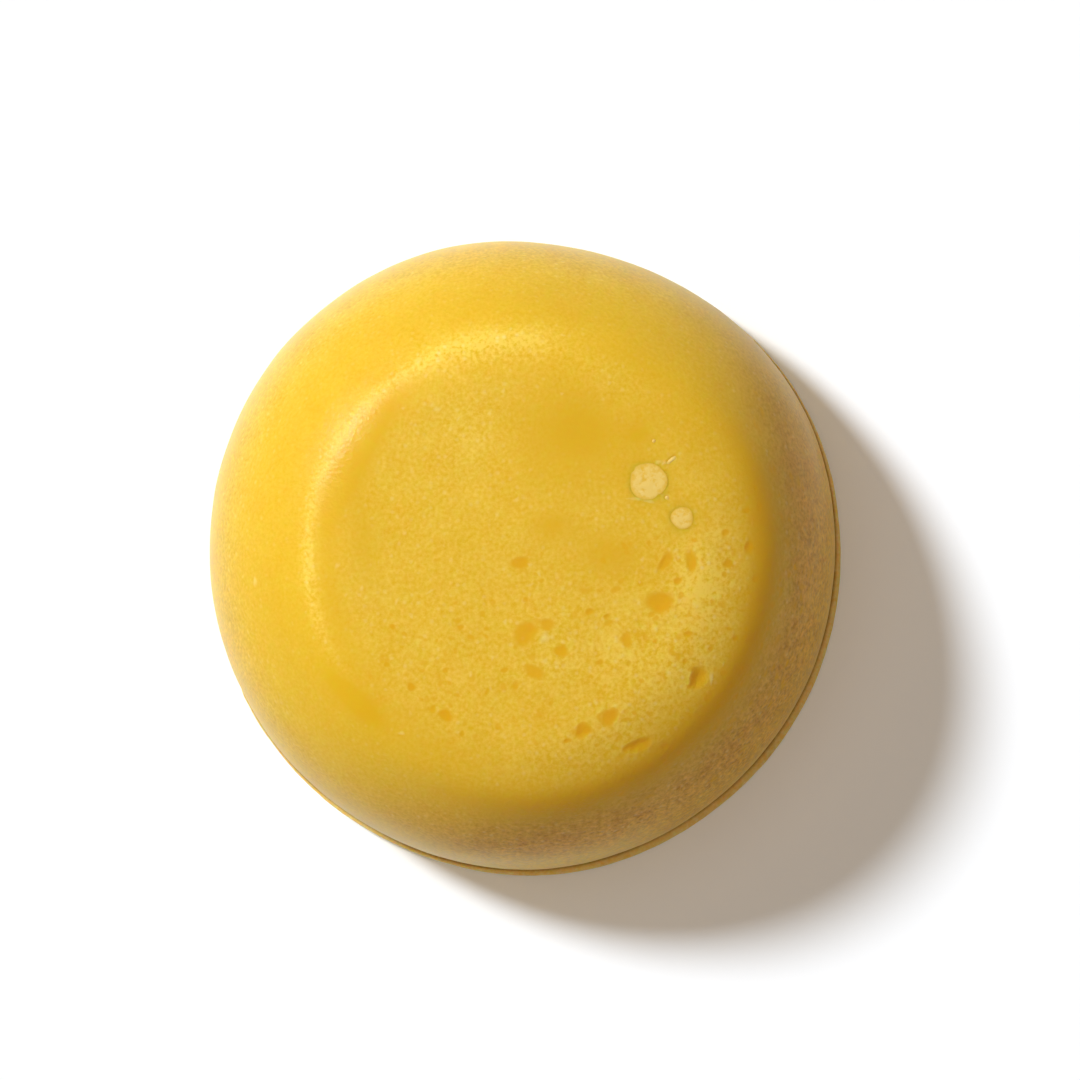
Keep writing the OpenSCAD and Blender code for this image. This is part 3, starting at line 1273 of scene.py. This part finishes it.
@dataclass
class Inset:
    """A pale piece that lies in the face. Each kind has its own beds and model.

    Attributes:
        name: Name of the piece.
        node: The solid that it stands for.
    """

    name: str
    node: str

    def beds(self, axis: Vector) -> list[Pit]:
        """The places in the soap that give way to it.

        Args:
            axis: Place of the pour's axis, in mm.

        Returns:
            The places, from that axis.
        """
        raise NotImplementedError

    def model(self, cake: MainPour) -> tuple[BMesh, np.ndarray, Masks]:
        """Models it in its place.

        Args:
            cake: The pour that holds it.

        Returns:
            Its mesh, the places of the vertices from the pour's axis, and its masks.
        """
        raise NotImplementedError

    def build(self, cake: MainPour, material: bpy.types.Material) -> Piece:
        """Models the piece.

        Args:
            cake: The pour that holds it.
            material: Its finish.

        Returns:
            The piece, ready to place.
        """
        bm, points, masks = self.model(cake)
        move_to(bm, points)
        return Piece(self.name, bm, cake.axis, self.node, Slot.FLAKE, material, masks)


@dataclass
class FlushFlake(Inset):
    """A round pale flake.

    Attributes:
        segments: Steps round it.
        rings: Steps from its edge to the middle of its top.
        thick: How far it reaches into the soap, in mm.
        proud: How far its middle stands above the face.
        edge_rise: How far its edge does.
        wobble: Unevenness of its outline, as a share of its radius.
        lumps: Height of the lumps in its top, in mm.
    """

    segments: int = 96
    rings: int = 14
    thick: float = 0.7
    proud: float = 0.03
    edge_rise: float = 0.008
    wobble: float = 0.03
    lumps: float = 0.02

    def size(self, axis: Vector) -> tuple[float, float, float]:
        """Its place from the pour's axis and its radius, in mm."""
        low, high = box_mm(self.node)
        middle = (low + high) / 2
        return middle.x - axis.x, middle.y - axis.y, (high.x - low.x) / 2

    def beds(self, axis: Vector) -> list[Pit]:
        """The place in the soap that gives way to the flake."""
        x, y, radius = self.size(axis)
        return [Pit(x, y, radius * 2, radius * 2, depth=0.35, rim=0.01)]

    def section(self, radius: float) -> Outline:
        """Half section from the middle of its underside to the middle of its low dome.

        Args:
            radius: Radius of the flake, in mm.

        Returns:
            Points as distance from its middle and height above the face.
        """
        sides = ((0.0, 1.0), (0.5, 1.0), (0.85, 1.0), (0.97, 0.85), (1.0, 0.5))
        shares = [1 - i / self.rings for i in range(self.rings + 1)]
        dome = self.proud - self.edge_rise
        return [
            *((radius * out, -self.thick * down) for out, down in sides),
            (radius, self.edge_rise - 0.06),
            (radius * 0.985, self.edge_rise),
            *((radius * 0.97 * share, self.edge_rise + dome * (1 - share**4)) for share in shares),
        ]

    def model(self, cake: MainPour) -> tuple[BMesh, np.ndarray, Masks]:
        """Models the flake as a disc with an uneven outline, which fades towards its edge.

        Args:
            cake: The pour that holds it.

        Returns:
            Its mesh, the places of the vertices from the pour's axis, and its masks.
        """
        x, y, radius = self.size(cake.axis)
        bm = spun(self.section(radius), self.segments)
        points = points_of(bm)
        out, way = from_axis(points)[0], angle_of(points)
        uneven = 1.03 + self.wobble * (np.sin(3 * way + x) + 0.6 * np.sin(5 * way + y))
        points[:, :2] *= uneven[:, None]
        points[:, 2] += self.lumps * noise_at(points, 0.7, 60.0) * (points[:, 2] > self.edge_rise)
        points[:, :2] += (x, y)
        points[:, 2] += cake.level_at(points)
        veil = 0.88 * smooth_step(radius * 1.05, radius * 0.68, out)
        return bm, points, {Mask.VEIL_AND_PAINTED_LIGHT: veil, Mask.COARSE: 1.0}


@dataclass
class PaleSliver(Inset):
    """The thin pale sliver beside the large flake.

    Attributes:
        width: Its width, in mm.
        turn: Its direction, in degrees from +X.
        proud: How far it stands above the face.
        lumps: Height of the lumps in its sides.
    """

    width: float = 0.6
    turn: float = 42.0
    proud: float = 0.03
    lumps: float = 0.09

    def ends(self, axis: Vector) -> tuple[np.ndarray, np.ndarray]:
        """Middles of its two round ends, from the pour's axis."""
        low, high = box_mm(self.node)
        half = self.width / 2
        first = np.array((low.x + half - axis.x, low.y + half - axis.y))
        second = np.array((high.x - half - axis.x, high.y - half - axis.y))
        return first, second

    def beds(self, axis: Vector) -> list[Pit]:
        """The place in the soap that gives way to it."""
        first, second = self.ends(axis)
        length = float(np.linalg.norm(second - first)) + self.width
        middle = (first + second) / 2
        return [Pit(*middle, length, self.width, self.turn, depth=0.10, rim=0.0)]

    def model(self, cake: MainPour) -> tuple[BMesh, np.ndarray, Masks]:
        """Models the sliver as a lumpy ball that is drawn out along its length.

        Args:
            cake: The pour that holds it.

        Returns:
            Its mesh, the places of the vertices from the pour's axis, and its masks.
        """
        first, second = self.ends(cake.axis)
        bm = bmesh.new()
        bmesh.ops.create_uvsphere(bm, u_segments=48, v_segments=32, radius=self.width / 2)
        points = points_of(bm)
        depth = self.width / 2 - points[:, 2]
        along = (second - first) / np.linalg.norm(second - first)
        share = 0.5 + (points[:, :2] @ along) / self.width
        points[:, :2] += first + (second - first) * share[:, None]
        lumps = [self.lumps * noise_at(points, 0.5, seed) for seed in (70.0, 75.0)]
        points[:, :2] += np.column_stack(lumps)
        points[:, 2] = cake.level_at(points) + self.proud - 0.8 * depth
        return bm, points, {Mask.VEIL_AND_PAINTED_LIGHT: 0.80, Mask.COARSE: 0.8, Mask.CRYSTAL_AND_PAINTED_LIGHT: 0.10}


@dataclass
class PaleGrains(Inset):
    """The two pale grains beside the flakes, in one piece.

    Attributes:
        width: Width of each grain, in mm.
        proud: How far each stands above the face.
        lumps: Height of the lumps in their tops.
    """

    width: float = 0.7
    proud: float = 0.02
    lumps: float = 0.02

    def places(self, axis: Vector) -> list[tuple[float, float]]:
        """Places of the grains: the two opposite corners of their solids' box."""
        low, high = box_mm(self.node)
        half = self.width / 2
        return [
            (low.x + half - axis.x, high.y - half - axis.y),
            (high.x - half - axis.x, low.y + half - axis.y),
        ]

    def beds(self, axis: Vector) -> list[Pit]:
        """The places in the soap that give way to them."""
        return [Pit(x, y, self.width, self.width, depth=0.08, rim=0.0) for x, y in self.places(axis)]

    def model(self, cake: MainPour) -> tuple[BMesh, np.ndarray, Masks]:
        """Models the grains as small uneven balls.

        Args:
            cake: The pour that holds them.

        Returns:
            Their mesh, the places of the vertices from the pour's axis, and their masks.
        """
        bm = bmesh.new()
        half = self.width / 2
        for place in self.places(cake.axis):
            level = float(cake.level_at(np.array([place]))[0])
            middle = Matrix.Translation((*place, level + self.proud - half))
            bmesh.ops.create_icosphere(bm, subdivisions=4, radius=half, matrix=middle)
        points = points_of(bm)
        points[:, 2] += self.lumps * noise_at(points, 0.4, 80.0)
        return bm, points, {Mask.VEIL_AND_PAINTED_LIGHT: 0.6, Mask.COARSE: 0.5}


# --- Studio


@dataclass
class Studio:
    """White table, one low sun and the sky round it.

    Attributes:
        sun_turn: Direction towards the sun, in degrees from +X.
        sun_height: Its height above the table, in degrees.
        sun_width: How wide it looks, in degrees.
        sun_strength: Its strength.
        sun_colour: Its colour, a little cool.
        soft_strength: Strength of the wide soft light straight above.
        soft_width: How wide it looks, in degrees.
        sky: Brightness of the sky as a light.
        warm: Colour of the soft light and the sky, so that with the sun they add up to white.
        table_glow: How much brighter the table looks than it is.
        table: Colour of the table.
        table_half_m: Half the table's width, in metres.
        view_mm: Width of the picture at the height of the puck's widest place, in mm.
        view_at: Place that the camera looks down on, in mm.
        widest_z: Height of the puck's widest place, in mm.
        lens_mm: The camera's lens.
        sensor_mm: The width of its sensor.
    """

    sun_turn: float = 145.0
    sun_height: float = 40.2
    sun_width: float = 10.5
    sun_strength: float = 3.73
    sun_colour: Colour = (0.835, 0.912, 1.0)
    soft_strength: float = 0.70
    soft_width: float = 70.0
    sky: float = 0.10
    warm: Colour = (1.0, 0.85, 0.69)
    table_glow: float = 0.06
    table: Colour = (0.985, 0.985, 0.985)
    table_half_m: float = 4.0
    view_mm: float = 120.0
    view_at: tuple[float, float] = (1.72, 1.89)
    widest_z: float = 4.0
    lens_mm: float = 400.0
    sensor_mm: float = 36.0

    def lay_table(self) -> None:
        """Lays the white table just under the puck."""
        bm = bmesh.new()
        bmesh.ops.create_grid(bm, x_segments=1, y_segments=1, size=self.table_half_m)
        bmesh.ops.translate(bm, verts=bm.verts, vec=(0, 0, -0.01 * MM))
        mesh = bpy.data.meshes.new("table_top")
        bm.to_mesh(mesh)
        bm.free()
        made = bpy.data.materials.new("white_table")
        made.use_nodes = True
        sheet = NodeSheet(made.node_tree)
        seen = sheet.add("ShaderNodeLightPath").outputs["Is Camera Ray"]
        inputs = {
            "Base Color": self.table,
            "Roughness": 0.9,
            "Specular IOR Level": 0.0,
            "Emission Color": (1.0, 1.0, 1.0),
            "Emission Strength": sheet.maths("MULTIPLY", seen, self.table_glow),
        }
        surface = sheet.add("ShaderNodeBsdfPrincipled", inputs)
        sheet.add("ShaderNodeOutputMaterial", {"Surface": surface.outputs[0]})
        mesh.materials.append(made)
        table = bpy.data.objects.new("table_top", mesh)
        bpy.context.scene.collection.objects.link(table)
        LOG.info("table_top laid")

    @staticmethod
    def hang(name: str, towards: Vector, strength: float, width: float, colour: Colour) -> None:
        """Hangs a far lamp.

        Args:
            name: Its name.
            towards: Direction towards it.
            strength: Its strength.
            width: How wide it looks, in degrees.
            colour: Its colour.
        """
        light = bpy.data.lights.new(name, "SUN")
        light.energy = strength
        light.angle = math.radians(width)
        light.color = colour
        lamp = bpy.data.objects.new(name, light)
        lamp.rotation_mode = "QUATERNION"
        lamp.rotation_quaternion = towards.to_track_quat("Z", "Y")
        lamp.location = towards
        bpy.context.scene.collection.objects.link(lamp)

    def light(self) -> None:
        """Hangs the lamps, and makes a sky that is white wherever it is seen."""
        level = math.radians(self.sun_height)
        turn = math.radians(self.sun_turn)
        towards = Vector(
            (math.cos(turn) * math.cos(level), math.sin(turn) * math.cos(level), math.sin(level))
        )
        self.hang("low_sun", towards, self.sun_strength, self.sun_width, self.sun_colour)
        self.hang("soft_top", Vector((0, 0, 1)), self.soft_strength, self.soft_width, self.warm)
        world = bpy.data.worlds.new("white_sky")
        world.use_nodes = True
        bpy.context.scene.world = world
        sheet = NodeSheet(world.node_tree)
        path = sheet.add("ShaderNodeLightPath").outputs
        seen = sheet.maths("MAXIMUM", path["Is Camera Ray"], path["Is Glossy Ray"])
        seen = sheet.maths("MAXIMUM", seen, path["Is Transmission Ray"])
        strength = sheet.maths("MULTIPLY_ADD", seen, 1.0 - self.sky, self.sky)
        colour = sheet.blend(seen, self.warm, (1.0, 1.0, 1.0))
        sky = sheet.add("ShaderNodeBackground", {"Color": colour, "Strength": strength})
        sheet.add("ShaderNodeOutputWorld", {"Surface": sky.outputs[0]})
        LOG.info("low_sun, soft_top and white_sky set")

    def aim(self) -> None:
        """Sets the camera straight above the puck, with a long lens."""
        lens = bpy.data.cameras.new("overhead")
        lens.lens = self.lens_mm
        lens.sensor_width = self.sensor_mm
        camera = bpy.data.objects.new("overhead", lens)
        distance = self.view_mm * self.lens_mm / self.sensor_mm
        camera.location = Vector((*self.view_at, self.widest_z + distance)) * MM
        bpy.context.scene.collection.objects.link(camera)
        bpy.context.scene.camera = camera
        bpy.context.scene.view_settings.view_transform = "Standard"
        LOG.info("overhead camera %.0f mm above the table", self.widest_z + distance)


def main() -> None:
    """Builds the studio and every piece of the puck."""
    logging.basicConfig(level=logging.INFO, format="%(name)s: %(message)s")
    studio = Studio()
    studio.aim()
    studio.lay_table()
    studio.light()
    cake = MainPour()
    insets = (
        FlushFlake("flake_large", "large_flake"),
        FlushFlake("flake_small", "small_flake"),
        PaleSliver("pale_sliver", "sliver"),
        PaleGrains("pale_grains", "grains"),
    )
    cake.beds = [bed for inset in insets for bed in inset.beds(cake.axis)]
    cake.build().place()
    BasePour().build().place()
    pale = PALE.material()
    for inset in insets:
        inset.build(cake, pale).place()


if __name__ == "__main__":
    main()
